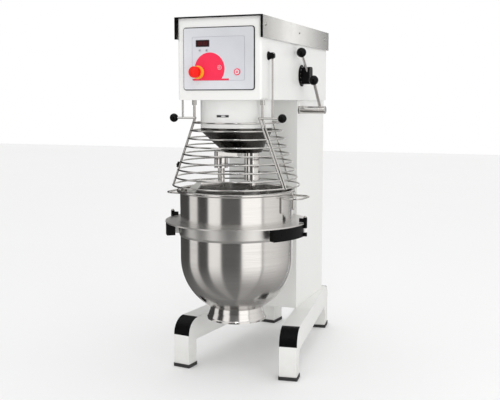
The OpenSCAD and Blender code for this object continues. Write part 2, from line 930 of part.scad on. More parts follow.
module bowl_handles() {
    color("silver") place() {
        bowl_handle();
        rotate([0, 0, 180]) bowl_handle();
    }
}

module bowl_foot() {
    color("silver") place() difference() {
        rotate_extrude($fn = 128) polygon([
            [101, 282], [105, 282], [109, 262], [118, 240], [121, 236], [121, 230], [116, 230], [105, 256],
        ]);
        translate([0, 0, bowl_round_z]) sphere(bowl_r, $fn = 128);
    }
}

// ring round the back of the bowl with two arms into the column and a lug for each clamp
module fork() {
    start = -33;
    color("whitesmoke") place() {
        difference() {
            union() {
                translate([0, 0, fork_low]) rotate([0, 0, start]) rotate_extrude(angle = 180 - 2 * start, $fn = 128)
                    translate([fork_in, 0]) square([fork_out - fork_in, flange_z - fork_low]);
                mirrored() block([arm_x - arm_t / 2, fork_in + 2, fork_low - 25],
                                 [arm_x + arm_t / 2, carriage_y, flange_z]);
                mirrored() {
                    translate([clamp_pivot[0], clamp_pivot[1], lug_low])
                        cylinder(r = clamp_post_r, h = lug_high - lug_low);
                    block([fork_in + 2, clamp_pivot[1] - clamp_post_r, lug_low],
                          [clamp_pivot[0], clamp_pivot[1] + clamp_post_r, lug_high]);
                }
            }
            translate([0, 0, fork_low - 30]) cylinder(r = fork_in, h = 80, $fn = 128);
            mirrored() translate([clamp_pivot[0], clamp_pivot[1], lug_low - eps])
                cylinder(r = clamp_pin_r + run_gap, h = lug_high - lug_low + 2 * eps);
        }
    }
}

carriage_y = 348;
carriage_back = 408;
rack_pitch_y = lift_y + lift_pitch_r;
rack_back = rack_pitch_y + 21;

module carriage() {
    color("slategray") place() difference() {
        union() {
            block([-120, carriage_y, carriage_low], [120, carriage_back, carriage_high]);
            block([-20, carriage_back, carriage_high - 45], [20, rack_back + 4, carriage_high]);
        }
        mirrored() translate([rod_x, rod_y, carriage_low - eps])
            cylinder(r = rod_r + run_gap, h = carriage_high - carriage_low + 2 * eps);
    }
}

rack_top = lift_z + bowl_travel + 25;

// toothed bar; one tooth stands level with the lift shaft when the bowl is up
module lift_rack() {
    pitch = PI * lift_module;
    below = floor((lift_z - carriage_high - 8) / pitch);
    above = floor((rack_top - lift_z - 8) / pitch);
    root_y = rack_pitch_y + 1.25 * lift_module;
    tip_y = rack_pitch_y - lift_module;
    half_pitch = (pitch - 1.2) / 4;
    half_root = half_pitch + 1.25 * lift_module * tan(20);
    half_tip = half_pitch - lift_module * tan(20);
    color("dimgray") place() sideways(-12, 12) polygon([
        [rack_back, carriage_high], [root_y, carriage_high],
        for (i = [-below:above]) let (z = lift_z + i * pitch)
            each [[root_y, z - half_root], [tip_y, z - half_tip], [tip_y, z + half_tip], [root_y, z + half_root]],
        [root_y, rack_top], [rack_back, rack_top],
    ]);
}

module lift_shaft() {
    color("silver") place() {
        bar_x(-column_half_w + 4, lift_shaft_end - 2, lift_y, lift_z, lift_shaft_r);
        translate([lift_shaft_end - 2, lift_y, lift_z]) rotate([0, 90, 0])
            cylinder(r1 = lift_shaft_r, r2 = lift_shaft_r - 2, h = 2);
    }
}

// toothed sector on the lift shaft; its gap between two teeth meets the rack's tooth
module lift_sector() {
    teeth = round(2 * lift_pitch_r / lift_module);
    n = 12;
    root = lift_pitch_r - 1.25 * lift_module;
    last = -5 + (n - 1) * 360 / teeth;
    color("dimgray") place() translate([0, lift_y, lift_z]) difference() {
        sideways(-11, 11) union() {
            polygon(concat([[0, 0]], gear_points(lift_module, teeth, n, -5, 1.2)));
            polygon([polar(25, -90), polar(root - 1, -8), polar(root - 1, last + 3), polar(25, last + 85)]);
            circle(26);
        }
        bar_x(-12, 12, 0, 0, lift_shaft_r);
    }
}

module lift_handle() {
    tip = [lift_ball_x, lift_y - lift_lever_len * sin(lift_lean), lift_z + lift_lever_len * cos(lift_lean)];
    hub = [lift_ball_x, lift_y, lift_z];
    color("silver") place() difference() {
        bar(hub, hub + (tip - hub) * 0.91, 6.5);
        bar_x(lift_ball_x - 10, lift_ball_x + 10, lift_y, lift_z, lift_shaft_r);
    }
}

// ball with a seat bored for the end of its rod
module ball_on(hub, tip, rod_part, rod_radius) {
    difference() {
        translate(tip) sphere(ball_r);
        bar(hub, hub + (tip - hub) * rod_part, rod_radius);
    }
}

module lift_ball() {
    tip = [lift_ball_x, lift_y - lift_lever_len * sin(lift_lean), lift_z + lift_lever_len * cos(lift_lean)];
    color("black") place() ball_on([lift_ball_x, lift_y, lift_z], tip, 0.91, 6.5);
}

// handle that locks the bowl's flange: a bar round the flange, a post and a hook over the flange
module clamp() {
    p = [clamp_pivot[0], clamp_pivot[1], 0];
    swing_r = 46;
    lug_clear = clamp_post_r + 0.8;
    difference() {
        union() {
            translate([0, 0, fork_low - 5]) rotate([0, 0, -38.5])
                rotate_extrude(angle = 40.5, $fn = 128) translate([fork_out + 2.5, 0])
                    square([32, flange_z - fork_low + 3.5]);
            translate(p + [0, 0, fork_low - 5]) cylinder(r = clamp_post_r, h = 75);
        }
        translate(p + [0, 0, lug_low - 1]) cylinder(r = lug_clear, h = lug_high - lug_low + 2);
        block(p + [-swing_r, -lug_clear, lug_low - 1], p + [0, swing_r, lug_high + 1]);
    }
    translate(p + [0, 0, lug_low - 2]) cylinder(r = clamp_pin_r, h = lug_high - lug_low + 4);
    block(p + [-24, -5, flange_z + 7], p + [0, 5, flange_z + 22]);
}

module clamp_right() {
    color("black") place() clamp();
}

module clamp_left() {
    color("black") place() mirror([1, 0, 0]) clamp();
}

// ---- speed lever ----

spindle_r = 10;
dial_r = 45;
dial_t = 8;

module speed_dial() {
    color("black") place() difference() {
        union() {
            bar_x(head_half_w, head_half_w + 3, speed_y, speed_z, dial_r);
            translate([head_half_w + 3, speed_y, speed_z]) rotate([0, 90, 0])
                cylinder(r1 = dial_r, r2 = dial_r - 12, h = dial_t - 3);
        }
        bar_x(head_half_w - eps, head_half_w + dial_t + eps, speed_y, speed_z, spindle_r + run_gap);
    }
}

// block that turns on the dial, with its spindle and the cam behind the casing
module speed_hub() {
    color("black") place() {
        translate([0, speed_y, speed_z]) sideways(head_half_w + dial_t + 0.6, 212) round_rect(46, 72, 12);
        bar_x(60, 185, speed_y, speed_z, spindle_r);
        translate([0, speed_y, speed_z]) sideways(62, 72) union() {
            circle(20);
            translate([-8, -62]) square([16, 62]);
            translate([0, -62]) circle(8);
        }
    }
}

function speed_tip() = [speed_ball_x, speed_y - speed_lever_len * sin(speed_lean),
    speed_z + speed_lever_len * cos(speed_lean)];

module speed_rod() {
    hub = [speed_ball_x, speed_y, speed_z];
    color("silver") place() difference() {
        bar(hub, hub + (speed_tip() - hub) * 0.9, 5.5);
        translate([0, speed_y, speed_z]) sideways(170, 212) round_rect(46, 72, 12);
    }
}

module speed_ball() {
    color("black") place() ball_on([speed_ball_x, speed_y, speed_z], speed_tip(), 0.9, 5.5);
}

// ---- output ----

leg_left();
leg_right();
leg_covers();
foot_pads();
base_plate();
column();
column_back();
head_casing();
head_front();
lid();
beater_housing();
ring_gear();
main_bearings();
guard_rear();
guard_bushes();
panel_plate();
panel_gasket();
panel_foil();
display();
red_tile();
estop_collar();
control_box();
speed_dial();
lift_bushes();
motor();
motor_mount();
drive_belt();
guide_rods();
cable_gland();
guard_front();
guard_knobs();
carriage();
fork();
lift_rack();
bowl();
bowl_ring();
bowl_handles();
bowl_foot();
clamp_left();
clamp_right();
lift_shaft();
lift_sector();
lift_handle();
lift_ball();
speed_hub();
speed_rod();
speed_ball();
planet_head();
main_shaft();
main_pulley();
scraper_post();
scraper_blade();
tool_shaft();
beater();
motor_rotor();
estop_button();
start_key();
stop_key();
timer_up_key();
timer_down_key();
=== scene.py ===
import json
import math

import bmesh
import bpy
from mathutils import Matrix, Vector


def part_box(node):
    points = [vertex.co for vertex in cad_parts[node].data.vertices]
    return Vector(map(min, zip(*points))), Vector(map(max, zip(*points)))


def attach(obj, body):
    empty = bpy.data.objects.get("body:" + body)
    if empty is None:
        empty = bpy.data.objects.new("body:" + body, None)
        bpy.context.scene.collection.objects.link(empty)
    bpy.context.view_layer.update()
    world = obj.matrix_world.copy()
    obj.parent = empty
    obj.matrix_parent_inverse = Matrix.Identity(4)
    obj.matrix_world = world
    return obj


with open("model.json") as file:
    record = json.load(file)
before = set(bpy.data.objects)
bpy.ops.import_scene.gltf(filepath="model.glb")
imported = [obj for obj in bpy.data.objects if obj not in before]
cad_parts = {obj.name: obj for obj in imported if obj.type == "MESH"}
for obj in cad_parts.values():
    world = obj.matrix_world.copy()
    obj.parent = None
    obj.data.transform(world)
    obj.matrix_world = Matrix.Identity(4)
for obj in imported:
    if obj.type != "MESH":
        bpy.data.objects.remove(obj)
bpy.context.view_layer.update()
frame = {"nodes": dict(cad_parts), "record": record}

nodes = frame["nodes"]
slot_of = {s["node"]: s["material_slot"] for s in frame["record"]["subparts"]}

# ---------------------------------------------------------------- shader helpers


class Shader:
    """One node material under construction, with object coordinates as its base."""

    def __init__(self, name):
        self.material = bpy.data.materials.new(name)
        self.material.use_nodes = True
        self.tree = self.material.node_tree
        self.tree.nodes.clear()
        out = self.tree.nodes.new("ShaderNodeOutputMaterial")
        self.bsdf = self.tree.nodes.new("ShaderNodeBsdfPrincipled")
        self.tree.links.new(self.bsdf.outputs[0], out.inputs["Surface"])
        self.object_space = self.tree.nodes.new("ShaderNodeTexCoord").outputs["Object"]

    def link(self, a, b):
        self.tree.links.new(a, b)

    def stretched(self, scale):
        """Object coordinates scaled differently along each axis."""
        n = self.tree.nodes.new("ShaderNodeMapping")
        n.inputs["Scale"].default_value = scale
        self.link(self.object_space, n.inputs["Vector"])
        return n.outputs[0]

    def noise(self, scale, detail=4.0, rough=0.55, vector=None):
        n = self.tree.nodes.new("ShaderNodeTexNoise")
        n.inputs["Scale"].default_value = scale
        n.inputs["Detail"].default_value = detail
        n.inputs["Roughness"].default_value = rough
        self.link(vector or self.object_space, n.inputs["Vector"])
        return n.outputs["Fac"]

    def remap(self, value, lo, hi, to_lo, to_hi):
        n = self.tree.nodes.new("ShaderNodeMapRange")
        n.inputs["From Min"].default_value = lo
        n.inputs["From Max"].default_value = hi
        n.inputs["To Min"].default_value = to_lo
        n.inputs["To Max"].default_value = to_hi
        self.link(value, n.inputs["Value"])
        return n.outputs["Result"]

    def height(self, lo, hi):
        """0 below lo and 1 above hi, in metres over the floor."""
        split = self.tree.nodes.new("ShaderNodeSeparateXYZ")
        self.link(self.object_space, split.inputs[0])
        return self.remap(split.outputs["Z"], lo, hi, 0.0, 1.0)

    def multiply(self, a, b):
        n = self.tree.nodes.new("ShaderNodeMath")
        n.operation = "MULTIPLY"
        self.link(a, n.inputs[0])
        self.link(b, n.inputs[1])
        return n.outputs[0]

    def mix(self, fac, a, b):
        n = self.tree.nodes.new("ShaderNodeMix")
        n.data_type = "RGBA"
        self.link(fac, n.inputs["Factor"])
        for socket, value in ((n.inputs[6], a), (n.inputs[7], b)):
            if isinstance(value, bpy.types.NodeSocket):
                self.link(value, socket)
            else:
                socket.default_value = (*value, 1.0)
        return n.outputs[2]

    def bump(self, value, distance, strength, after=None):
        n = self.tree.nodes.new("ShaderNodeBump")
        n.inputs["Distance"].default_value = distance
        n.inputs["Strength"].default_value = strength
        self.link(value, n.inputs["Height"])
        if after is not None:
            self.link(after, n.inputs["Normal"])
        return n.outputs["Normal"]

    def soft_edges(self, radius):
        """Normals that turn over the part's edges instead of breaking there."""
        n = self.tree.nodes.new("ShaderNodeBevel")
        n.samples = 4
        n.inputs["Radius"].default_value = radius
        return n.outputs[0]

    def finish(self, colour=None, rough=None, normal=None, **constants):
        for name, value in constants.items():
            self.bsdf.inputs[name.replace("_", " ")].default_value = value
        if colour is not None:
            self.link(colour, self.bsdf.inputs["Base Color"])
        if rough is not None:
            self.link(rough, self.bsdf.inputs["Roughness"])
        if normal is not None:
            self.link(normal, self.bsdf.inputs["Normal"])
        return self.material


def shade(colour, k):
    return tuple(min(1.0, c * k) for c in colour)


def paint(name, colour, rough=0.38, peel=0.12, dust=0.0):
    """Powder coat: orange peel, uneven sheen, faint handling marks, dust low down."""
    s = Shader(name)
    cloud = s.remap(s.noise(2.5, 3.0), 0.3, 0.7, 0.0, 1.0)
    speck = s.remap(s.noise(420.0, 2.0), 0.62, 0.74, 0.0, 0.35)
    tone = s.mix(cloud, shade(colour, 0.975), colour)
    tone = s.mix(speck, tone, shade(colour, 0.93))
    if dust:
        low = s.multiply(s.remap(s.height(0.0, 0.16), 0.0, 1.0, dust, 0.0), s.noise(26.0, 6.0))
        tone = s.mix(low, tone, (0.42, 0.39, 0.35))
    marks = s.noise(9.0, 6.0, 0.65, s.stretched((1.0, 1.0, 0.35)))
    gloss = s.remap(marks, 0.3, 0.75, rough - 0.07, rough + 0.10)
    skin = s.bump(s.noise(620.0, 2.0), 0.00012, peel, s.soft_edges(0.0015))
    return s.finish(tone, gloss, skin, Coat_Weight=0.12, Coat_Roughness=0.25)


def plastic(name, colour, rough=0.45, grain=900.0, depth=0.18, wear=0.5, shine=0.5):
    """Moulded plastic: fine spark-eroded grain, rubbed patches, slight colour drift."""
    s = Shader(name)
    cloud = s.noise(14.0, 5.0)
    tone = s.mix(s.remap(cloud, 0.35, 0.7, 0.0, wear), colour, tuple(c * 0.9 + 0.006 for c in colour))
    gloss = s.remap(s.noise(30.0, 6.0, 0.6), 0.3, 0.75, rough - 0.06, rough + 0.1)
    return s.finish(tone, gloss, s.bump(s.noise(grain, 2.0), 0.00015, depth), Specular_IOR_Level=shine)


def glossy(name, colour, rough=0.1, coat=0.6, shine=0.5):
    """Hard shiny plastic or foil with hairline scratches and faint finger marks."""
    s = Shader(name)
    tone = s.mix(s.remap(s.noise(20.0, 3.0), 0.35, 0.7, 0.0, 1.0), shade(colour, 0.95), colour)
    smear = s.noise(38.0, 7.0, 0.7)
    gloss = s.remap(smear, 0.35, 0.75, rough, rough + 0.12)
    hair = s.noise(220.0, 2.0, 0.5, s.stretched((1.0, 1.0, 6.0)))
    return s.finish(tone, gloss, s.bump(hair, 0.00004, 0.1), Coat_Weight=coat, Coat_Roughness=0.06,
                    Specular_IOR_Level=shine)


def metal(name, colour, rough=0.2, grain=(40.0, 40.0, 40.0), depth=0.08, fine=60.0, marks=0.07):
    """Bare metal with a directional grain, cloudy wear and water marks."""
    s = Shader(name)
    line = s.noise(fine, 3.0, 0.6, s.stretched(grain))
    cloud = s.noise(5.0, 5.0, 0.6)
    tone = s.mix(s.remap(line, 0.3, 0.7, 0.0, 1.0), shade(colour, 0.93), shade(colour, 1.04))
    tone = s.mix(s.remap(cloud, 0.45, 0.8, 0.0, 0.25), tone, shade(colour, 0.9))
    spread = s.remap(cloud, 0.3, 0.75, rough - marks * 0.5, rough + marks)
    return s.finish(tone, spread, s.bump(line, 0.00006, depth), Metallic=1.0)


def turned(name, colour, rough=0.2, rings=420.0, depth=0.1, spin=0.75):
    """Spun sheet: fine rings round the upright axis, so reflections draw out into stripes."""
    s = Shader(name)
    line = s.noise(1.0, 2.0, 0.5, s.stretched((6.0, 6.0, rings)))
    cloud = s.noise(7.0, 5.0, 0.6)
    tone = s.mix(s.remap(line, 0.3, 0.7, 0.0, 1.0), shade(colour, 0.95), shade(colour, 1.03))
    spread = s.remap(cloud, 0.3, 0.75, rough - 0.02, rough + 0.05)
    tangent = s.tree.nodes.new("ShaderNodeTangent")
    tangent.direction_type = "RADIAL"
    tangent.axis = "Z"
    s.link(tangent.outputs[0], s.bsdf.inputs["Tangent"])
    return s.finish(tone, spread, s.bump(line, 0.00004, depth), Metallic=1.0, Anisotropic=spin,
                    Anisotropic_Rotation=0.25)


def casting(name, colour, rough=0.5, metallic=0.9, pits=260.0, depth=0.3):
    """Cast or machined iron: pitted skin, oily darker patches."""
    s = Shader(name)
    patch = s.noise(12.0, 6.0, 0.6)
    tone = s.mix(s.remap(patch, 0.35, 0.7, 0.0, 1.0), shade(colour, 0.7), shade(colour, 1.1))
    spread = s.remap(patch, 0.3, 0.75, rough - 0.12, rough + 0.12)
    return s.finish(tone, spread, s.bump(s.noise(pits, 4.0), 0.0003, depth), Metallic=metallic)


def rubber(name, colour, rough=0.75):
    s = Shader(name)
    dusty = s.noise(55.0, 6.0, 0.65)
    tone = s.mix(s.remap(dusty, 0.4, 0.75, 0.0, 0.6), colour, tuple(c * 0.7 + 0.05 for c in colour))
    return s.finish(tone, s.remap(dusty, 0.3, 0.7, rough - 0.1, rough + 0.12),
                    s.bump(s.noise(700.0, 3.0), 0.0002, 0.25))


def silver_sheet(name, colour, metallic=0.25):
    """Silver satin plate with a painted highlight: its colour runs from light to dark across it, corner to
    corner, like a broad reflection.
    """
    s = Shader(name)
    split = s.tree.nodes.new("ShaderNodeSeparateXYZ")
    s.link(s.stretched((2.2, 1.0, 3.0)), split.inputs[0])
    add = s.tree.nodes.new("ShaderNodeMath")
    add.operation = "ADD"
    s.link(split.outputs["X"], add.inputs[0])
    s.link(split.outputs["Z"], add.inputs[1])
    # painted highlight: the base colour is lighter towards the lower left and darker towards the upper right
    painted_sweep = s.remap(add.outputs[0], 3.45, 4.15, 0.0, 1.0)
    tone = s.mix(painted_sweep, shade(colour, 1.12), shade(colour, 0.94))
    flake = s.noise(900.0, 2.0)
    tone = s.mix(s.remap(flake, 0.5, 0.7, 0.0, 0.25), tone, shade(colour, 0.9))
    return s.finish(tone, s.remap(s.noise(25.0, 6.0), 0.3, 0.75, 0.3, 0.42),
                    s.bump(flake, 0.00004, 0.12), Metallic=metallic)


WHITE = (0.83, 0.83, 0.812)
finishes = {
    "white_paint": paint("powder_white", WHITE, dust=0.35),
    "white_panel": paint("powder_white_back", shade(WHITE, 0.985), rough=0.42),
    "black_plastic": plastic("black_moulding", (0.003, 0.003, 0.0032), rough=0.3, depth=0.08, wear=0.2,
                             shine=0.08),
    "black_ball": glossy("black_phenolic", (0.003, 0.003, 0.003), rough=0.08, coat=0.04, shine=0.1),
    "rubber": rubber("foot_rubber", (0.02, 0.02, 0.02)),
    "belt_rubber": rubber("belt_rubber", (0.028, 0.027, 0.026), rough=0.68),
    "lid_steel": metal("lid_brushed", (0.62, 0.61, 0.585), rough=0.11, grain=(30.0, 0.6, 30.0), depth=0.12,
                       marks=0.02),
    "bowl_steel": turned("bowl_turned", (0.68, 0.665, 0.65), rough=0.17),
    "ring_steel": metal("band_satin", (0.70, 0.69, 0.675), rough=0.36, grain=(6.0, 6.0, 20.0), depth=0.1,
                        marks=0.04),
    "wire_steel": metal("wire_bright", (0.62, 0.61, 0.595), rough=0.12, marks=0.04),
    "polished_steel": metal("ground_steel", (0.68, 0.665, 0.65), rough=0.10, marks=0.03),
    "planet_metal": turned("planet_polished", (0.11, 0.105, 0.10), rough=0.16, rings=500.0, spin=0.4),
    "cast_aluminium": casting("tumbled_aluminium", (0.72, 0.72, 0.71), rough=0.42, metallic=1.0, depth=0.16),
    "gear_steel": casting("oiled_gear_steel", (0.24, 0.24, 0.25), rough=0.34, metallic=1.0, depth=0.1),
    "grey_iron": casting("grey_casting", (0.30, 0.31, 0.33), rough=0.52),
    "motor_paint": paint("motor_enamel", (0.13, 0.20, 0.28), rough=0.42, peel=0.3),
    "panel_silver": silver_sheet("plate_silver", (0.66, 0.675, 0.71), metallic=0.35),
    "gasket": rubber("panel_gasket", (0.07, 0.07, 0.075), rough=0.6),
    "foil_grey": silver_sheet("foil_silver", (0.63, 0.64, 0.685)),
    "display_glass": glossy("display_window", (0.022, 0.0015, 0.003), rough=0.12, coat=0.03, shine=0.1),
    "tile_red": glossy("tile_red", (0.90, 0.028, 0.085), rough=0.3, coat=0.05, shine=0.2),
    "key_grey": glossy("key_grey", (0.50, 0.52, 0.56), rough=0.22, coat=0.3),
    "estop_red": plastic("estop_red", (0.90, 0.010, 0.004), rough=0.3, depth=0.06, wear=0.1, shine=0.3),
    "estop_yellow": plastic("estop_yellow", (0.93, 0.47, 0.03), rough=0.34, depth=0.06, wear=0.2),
    "box_grey": plastic("control_box_grey", (0.10, 0.11, 0.115), rough=0.55),
    "nylon": plastic("white_nylon", (0.80, 0.80, 0.77), rough=0.4, wear=0.1),
}
zinc = metal("zinc_fastener", (0.62, 0.61, 0.58), rough=0.28, depth=0.15)
print_white = plastic("print_white", (0.82, 0.82, 0.82), rough=0.4, wear=0.1)
print_dark = plastic("print_dark", (0.03, 0.03, 0.035), rough=0.4, wear=0.2)
print_grey = plastic("print_grey", (0.36, 0.34, 0.40), rough=0.4, wear=0.1)
print_light = plastic("print_light", (0.72, 0.72, 0.76), rough=0.4, wear=0.1)
edge_black = plastic("edge_black", (0.003, 0.003, 0.003), rough=0.5, wear=0.2, shine=0.05)
segment_dim = glossy("segment_unlit", (0.11, 0.006, 0.010), rough=0.2, coat=0.05, shine=0.2)

for name, node in nodes.items():
    node.data.materials.clear()
    node.data.materials.append(finishes[slot_of[name]])

# ---------------------------------------------------------------- mesh helpers


def finish_piece(name, bm, body, material, bevel=0.0, smooth=40.0):
    """Turns the bmesh into a piece that rides on a CAD body."""
    bmesh.ops.remove_doubles(bm, verts=bm.verts, dist=1e-6)
    bmesh.ops.recalc_face_normals(bm, faces=bm.faces)
    mesh = bpy.data.meshes.new(name)
    bm.to_mesh(mesh)
    bm.free()
    for p in mesh.polygons:
        p.use_smooth = True
    mesh.set_sharp_from_angle(angle=math.radians(smooth))
    mesh.materials.append(material)
    piece = bpy.data.objects.new(name, mesh)
    bpy.context.scene.collection.objects.link(piece)
    if bevel:
        m = piece.modifiers.new("edge", "BEVEL")
        m.width = bevel
        m.segments = 2
        m.limit_method = "ANGLE"
    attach(piece, body)
    return piece


def facing(at, out):
    """A matrix that puts local +Z along out, at that point."""
    turn = Vector(out).to_track_quat("Z", "Y").to_matrix().to_4x4()
    return Matrix.Translation(Vector(at)) @ turn


def add_lathe(bm, profile, place, segments=32):
    """Closed profile of (radius, height) pairs, turned round local Z."""
    rings = []
    for r, h in profile:
        if r < 1e-7:
            rings.append([bm.verts.new(place @ Vector((0, 0, h)))])
        else:
            rings.append([bm.verts.new(place @ Vector((r * math.cos(t), r * math.sin(t), h)))
                          for t in (2 * math.pi * i / segments for i in range(segments))])
    for a, b in zip(rings, rings[1:]):
        for i in range(segments):
            j = (i + 1) % segments
            corners = [a[i % len(a)], a[j % len(a)], b[j % len(b)], b[i % len(b)]]
            corners = [c for k, c in enumerate(corners) if c not in corners[:k]]
            if len(corners) > 2:
                bm.faces.new(corners)


def add_prism(bm, outline, depth, place):
    """Flat outline of (x, y) pairs pushed along local Z."""
    low = [bm.verts.new(place @ Vector((x, y, 0))) for x, y in outline]
    top = [bm.verts.new(place @ Vector((x, y, depth))) for x, y in outline]
    bm.faces.new(low[::-1])
    bm.faces.new(top)
    for i in range(len(outline)):
        j = (i + 1) % len(outline)
        bm.faces.new((low[i], low[j], top[j], top[i]))


def add_skin(bm, rings):
    """Sides between closed rings of vertices, with a cap on the first and the last."""
    for a, b in zip(rings, rings[1:]):
        for i in range(len(a)):
            j = (i + 1) % len(a)
            bm.faces.new((a[i], b[i], b[j], a[j]))
    bm.faces.new(rings[0][::-1])
    bm.faces.new(rings[-1])


def add_band(bm, outer, inner, depth, place):
    """A flat frame between two outlines with the same number of points."""
    rows = [[bm.verts.new(place @ Vector((x, y, z))) for x, y in line]
            for line, z in ((outer, 0), (outer, depth), (inner, depth), (inner, 0))]
    for a, b in zip(rows, rows[1:] + rows[:1]):
        for i in range(len(outer)):
            j = (i + 1) % len(outer)
            bm.faces.new((a[i], a[j], b[j], b[i]))


def round_rect(w, h, r, steps=6):
    out = []
    for cx, cy, t0 in ((w / 2 - r, h / 2 - r, 0), (r - w / 2, h / 2 - r, 90),
                       (r - w / 2, r - h / 2, 180), (w / 2 - r, r - h / 2, 270)):
        for i in range(steps + 1):
            t = math.radians(t0 + 90 * i / steps)
            out.append((cx + r * math.cos(t), cy + r * math.sin(t)))
    return out


def circle(r, n=32):
    return [(r * math.cos(2 * math.pi * i / n), r * math.sin(2 * math.pi * i / n)) for i in range(n)]


def add_screw(bm, place, r, head=0.0024):
    """Pan head with a hexagon socket."""
    around = 24
    add_lathe(bm, [(0, -0.001), (r, -0.001), (r, head * 0.45), (r * 0.93, head * 0.8), (r * 0.75, head),
                   (r * 0.5, head)], place, around)
    mouth = circle(r * 0.5, around)
    inner = []
    for x, y in mouth:
        t = math.atan2(y, x)
        k = math.cos(math.pi / 6) / math.cos((t % (math.pi / 3)) - math.pi / 6)
        inner.append((x * k * 0.92, y * k * 0.92))
    top = [bm.verts.new(place @ Vector((x, y, head))) for x, y in mouth]
    lip = [bm.verts.new(place @ Vector((x, y, head))) for x, y in inner]
    deep = [bm.verts.new(place @ Vector((x, y, head * 0.35))) for x, y in inner]
    for i in range(around):
        j = (i + 1) % around
        bm.faces.new((top[i], top[j], lip[j], lip[i]))
        bm.faces.new((lip[i], lip[j], deep[j], deep[i]))
    bm.faces.new(deep)


def screws(name, body, places, r):
    bm = bmesh.new()
    for p in places:
        add_screw(bm, p, r)
    return finish_piece(name, bm, body, zinc)


def middle(box):
    return (box[0] + box[1]) / 2


def front_face(x, y, z):
    """Local X to the machine's right, local Y up, local Z towards the front."""
    return Matrix.Translation((x, y, z)) @ Matrix.Rotation(math.pi / 2, 4, "X")


# ---------------------------------------------------------------- lid

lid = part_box("lid")


def lid_screws(name, x, out):
    drop, front_gap, back_gap, head_r = 0.034, 0.039, 0.06, 0.0046
    rows = [lid[0].y + front_gap, middle(lid).y, lid[1].y - back_gap]
    screws(name, "stand", [facing((x, y, lid[1].z - drop), (out, 0, 0)) for y in rows], head_r)


def lid_shadow_strip():
    """Black strip over the lid's front edge and down both skirts: painted shade, a dark piece standing in
    for the shadow on the lid's inner edge and in the gap under it.
    """
    skin, side, top, tail, depth, ahead = 0.0006, 0.0066, 0.0046, 0.001, 0.0085, 0.0007
    out_x, in_x = lid[1].x + skin, lid[1].x - side
    out_z, in_z = lid[1].z + skin, lid[1].z - top
    low = lid[0].z - tail
    outline = [(-out_x, low), (-out_x, out_z), (out_x, out_z), (out_x, low),
               (in_x, low), (in_x, in_z), (-in_x, in_z), (-in_x, low)]
    bm = bmesh.new()
    add_prism(bm, outline, depth, front_face(0, lid[0].y - ahead + depth, 0))
    finish_piece("lid_shadow_strip", bm, "stand", edge_black, bevel=0.0011)


lid_screws("lid_screws_right", lid[1].x, 1)
lid_screws("lid_screws_left", lid[0].x, -1)
lid_shadow_strip()

# ---------------------------------------------------------------- service panel

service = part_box("column_back")


def service_screws():
    lo, hi = service
    inset, head_r = 0.013, 0.0042
    heights = [lo.z + inset, (lo.z * 2 + hi.z) / 3, (lo.z + hi.z * 2) / 3, hi.z - inset]
    places = [facing((x, hi.y, z), (0, 1, 0)) for x in (lo.x + inset, hi.x - inset) for z in heights]
    screws("back_panel_screws", "stand", places, head_r)


def service_louvres():
    """Pressed slats that slope down and outwards, with closed ends."""
    count, pitch, first, half, taper, flat = 9, 0.024, 0.10, 0.075, 0.008, 0.12
    section = [(0.0, -0.0085), (0.0, 0.0075), (0.0012, 0.0070), (0.0072, -0.0062), (0.0072, -0.0085)]
    stations = [(-half, flat), (-half + taper, 1.0), (half - taper, 1.0), (half, flat)]
    bm = bmesh.new()
    for k in range(count):
        place = Matrix.Translation((0, service[1].y, service[0].z + first + pitch * k))
        rings = [[bm.verts.new(place @ Vector((x, out * swell, up))) for out, up in section]
                 for x, swell in stations]
        add_skin(bm, rings)
    finish_piece("back_louvres", bm, "stand", finishes["white_panel"], 0.0006, 30.0)


service_screws()
service_louvres()

# ---------------------------------------------------------------- rating plate on the beater housing


def on_housing(name, half_w, half_h, lift, shift, fields, material):
    """Thin patches that follow the housing's front; fields are spans from 0 to 1 across the width."""
    lo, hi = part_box("beater_housing")
    radius = (hi.x - lo.x) / 2
    centre = Vector(((lo.x + hi.x) / 2, lo.y + radius, 0))
    height, sunk, steps = 0.047, 0.0003, 8
    z = lo.z + height
    corners = ((radius - sunk, z - half_h), (radius + lift, z - half_h),
               (radius + lift, z + half_h), (radius - sunk, z + half_h))
    span = half_w / radius
    bm = bmesh.new()
    for a, b in fields:
        rings = []
        for i in range(steps + 1):
            t = -math.pi / 2 + shift * span - span + 2 * span * (a + (b - a) * i / steps)
            out = Vector((math.cos(t), math.sin(t), 0))
            rings.append([bm.verts.new(centre + out * r + Vector((0, 0, up))) for r, up in corners])
        add_skin(bm, rings)
    finish_piece(name, bm, "stand", material, bevel=0.0002)


on_housing("rating_plate", 0.025, 0.0045, 0.0007, 0.0, [(0.0, 1.0)], print_dark)
on_housing("rating_print", 0.008, 0.0026, 0.0010, 0.45,
           [(0.0, 0.16), (0.24, 0.42), (0.5, 0.78), (0.86, 1.0)], print_white)

# ---------------------------------------------------------------- control panel

PRINT_T = 0.0003     # thickness of printed marks


def frame_round(name, box, y, outer, inner, depth, material, bevel=0.0):
    """Flat frame that follows a box; outer and inner are (growth of the box, corner radius)."""
    at = middle(box)
    w, h = box[1].x - box[0].x, box[1].z - box[0].z
    lines = [round_rect(w + grow, h + grow, r) for grow, r in (outer, inner)]
    bm = bmesh.new()
    add_band(bm, *lines, depth, front_face(at.x, y, at.z))
    finish_piece(name, bm, "stand", material, bevel=bevel)


def display_segments():
    """Four unlit leaning figures of seven segments each."""
    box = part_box("display")
    at = middle(box)
    digit_w, digit_h, bar, lean, depth = 0.0058, 0.0115, 0.0011, 0.12, 0.0002
    bars = [(0, up * digit_h / 2, digit_w * 0.72, bar) for up in (1, 0, -1)]
    bars += [(side * digit_w / 2, up * digit_h / 4, bar, digit_h * 0.40)
             for up in (1, -1) for side in (-1, 1)]
    bm = bmesh.new()
    for ox in (-0.015, -0.006, 0.006, 0.015):
        for cx, cy, w, h in bars:
            outline = [(x + ox + cx + (y + cy) * lean, y + cy) for x, y in round_rect(w, h, bar * 0.45, 2)]
            add_prism(bm, outline, depth, front_face(at.x, box[0].y, at.z))
    finish_piece("display_segments", bm, "stand", segment_dim)


